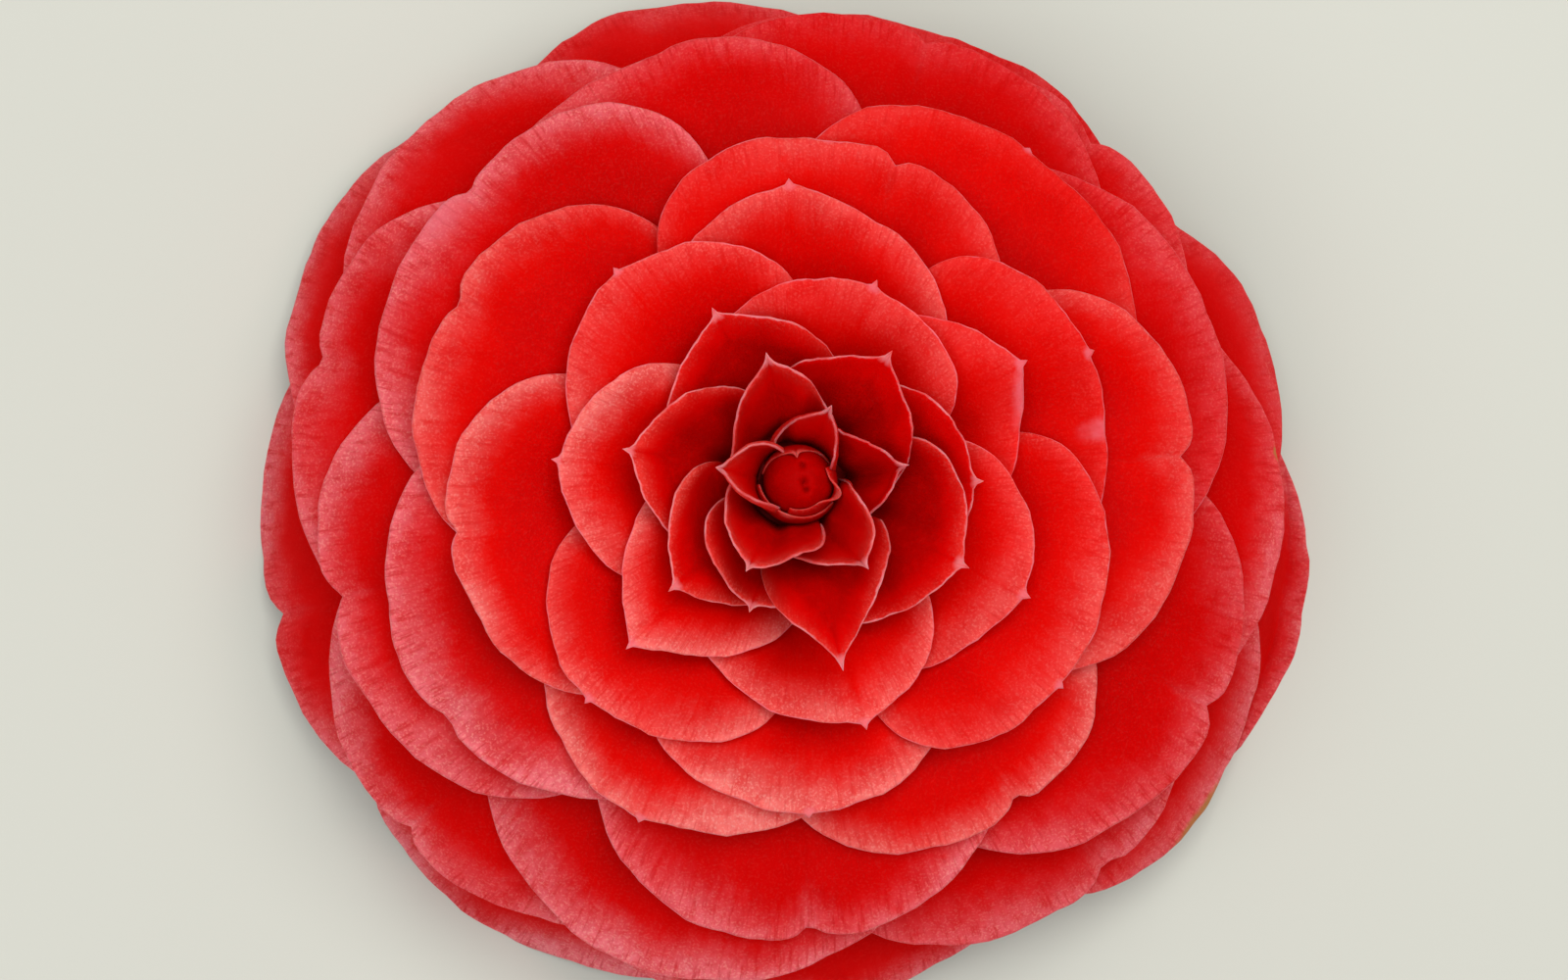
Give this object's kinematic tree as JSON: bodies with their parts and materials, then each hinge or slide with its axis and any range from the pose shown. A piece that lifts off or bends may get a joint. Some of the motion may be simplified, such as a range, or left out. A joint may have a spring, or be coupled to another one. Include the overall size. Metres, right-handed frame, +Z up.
{
  "type": "camellia flower",
  "caption": "Picked formal double camellia bloom: red petals overlapping in a domed spiral round a closed heart, with a calyx and a short cut stalk behind.",
  "frame": {"origin": "middle of the bloom's footprint, on the surface that its lowest petals rest on", "axes": "+Z up along the bloom's axis, out of its face; +Y towards the top of the bloom as seen from above, +X to the right"},
  "size_m": [0.096, 0.0912, 0.0392],
  "materials": {
    "petal_inner": "velvety deep red petal",
    "petal_middle": "velvety red petal, paler at the rim",
    "petal_outer": "velvety coral red petal with fine veins",
    "bud_red": "velvety dark red petal",
    "sepal_olive": "silky green-brown sepal",
    "green_base": "smooth green plant tissue"
  },
  "bodies": {
    "root": {"calyx": "sepal_olive", "centre_bud": "bud_red", "inner_petal_01": "petal_inner", "inner_petal_02": "petal_inner", "inner_petal_03": "petal_inner", "inner_petal_04": "petal_inner", "inner_petal_05": "petal_inner", "inner_petal_06": "petal_inner", "inner_petal_07": "petal_inner", "inner_petal_08": "petal_inner", "inner_petal_09": "petal_inner", "inner_petal_10": "petal_inner", "inner_petal_11": "petal_inner", "inner_petal_12": "petal_inner", "inner_petal_13": "petal_inner", "inner_petal_14": "petal_inner", "middle_petal_15": "petal_middle", "middle_petal_16": "petal_middle", "middle_petal_17": "petal_middle", "middle_petal_18": "petal_middle", "middle_petal_19": "petal_middle", "middle_petal_20": "petal_middle", "middle_petal_21": "petal_middle", "middle_petal_22": "petal_middle", "middle_petal_23": "petal_middle", "middle_petal_24": "petal_middle", "middle_petal_25": "petal_middle", "middle_petal_26": "petal_middle", "middle_petal_27": "petal_middle", "middle_petal_28": "petal_middle", "middle_petal_29": "petal_middle", "middle_petal_30": "petal_middle", "middle_petal_31": "petal_middle", "middle_petal_32": "petal_middle", "middle_petal_33": "petal_middle", "outer_petal_34": "petal_outer", "outer_petal_35": "petal_outer", "outer_petal_36": "petal_outer", "outer_petal_37": "petal_outer", "outer_petal_38": "petal_outer", "outer_petal_39": "petal_outer", "outer_petal_40": "petal_outer", "outer_petal_41": "petal_outer", "outer_petal_42": "petal_outer", "outer_petal_43": "petal_outer", "outer_petal_44": "petal_outer", "outer_petal_45": "petal_outer", "outer_petal_46": "petal_outer", "outer_petal_47": "petal_outer", "outer_petal_48": "petal_outer", "outer_petal_49": "petal_outer", "outer_petal_50": "petal_outer", "outer_petal_51": "petal_outer", "outer_petal_52": "petal_outer", "outer_petal_53": "petal_outer", "outer_petal_54": "petal_outer", "outer_petal_55": "petal_outer", "outer_petal_56": "petal_outer", "outer_petal_57": "petal_outer", "receptacle": "green_base"}
  },
  "joints": []
}
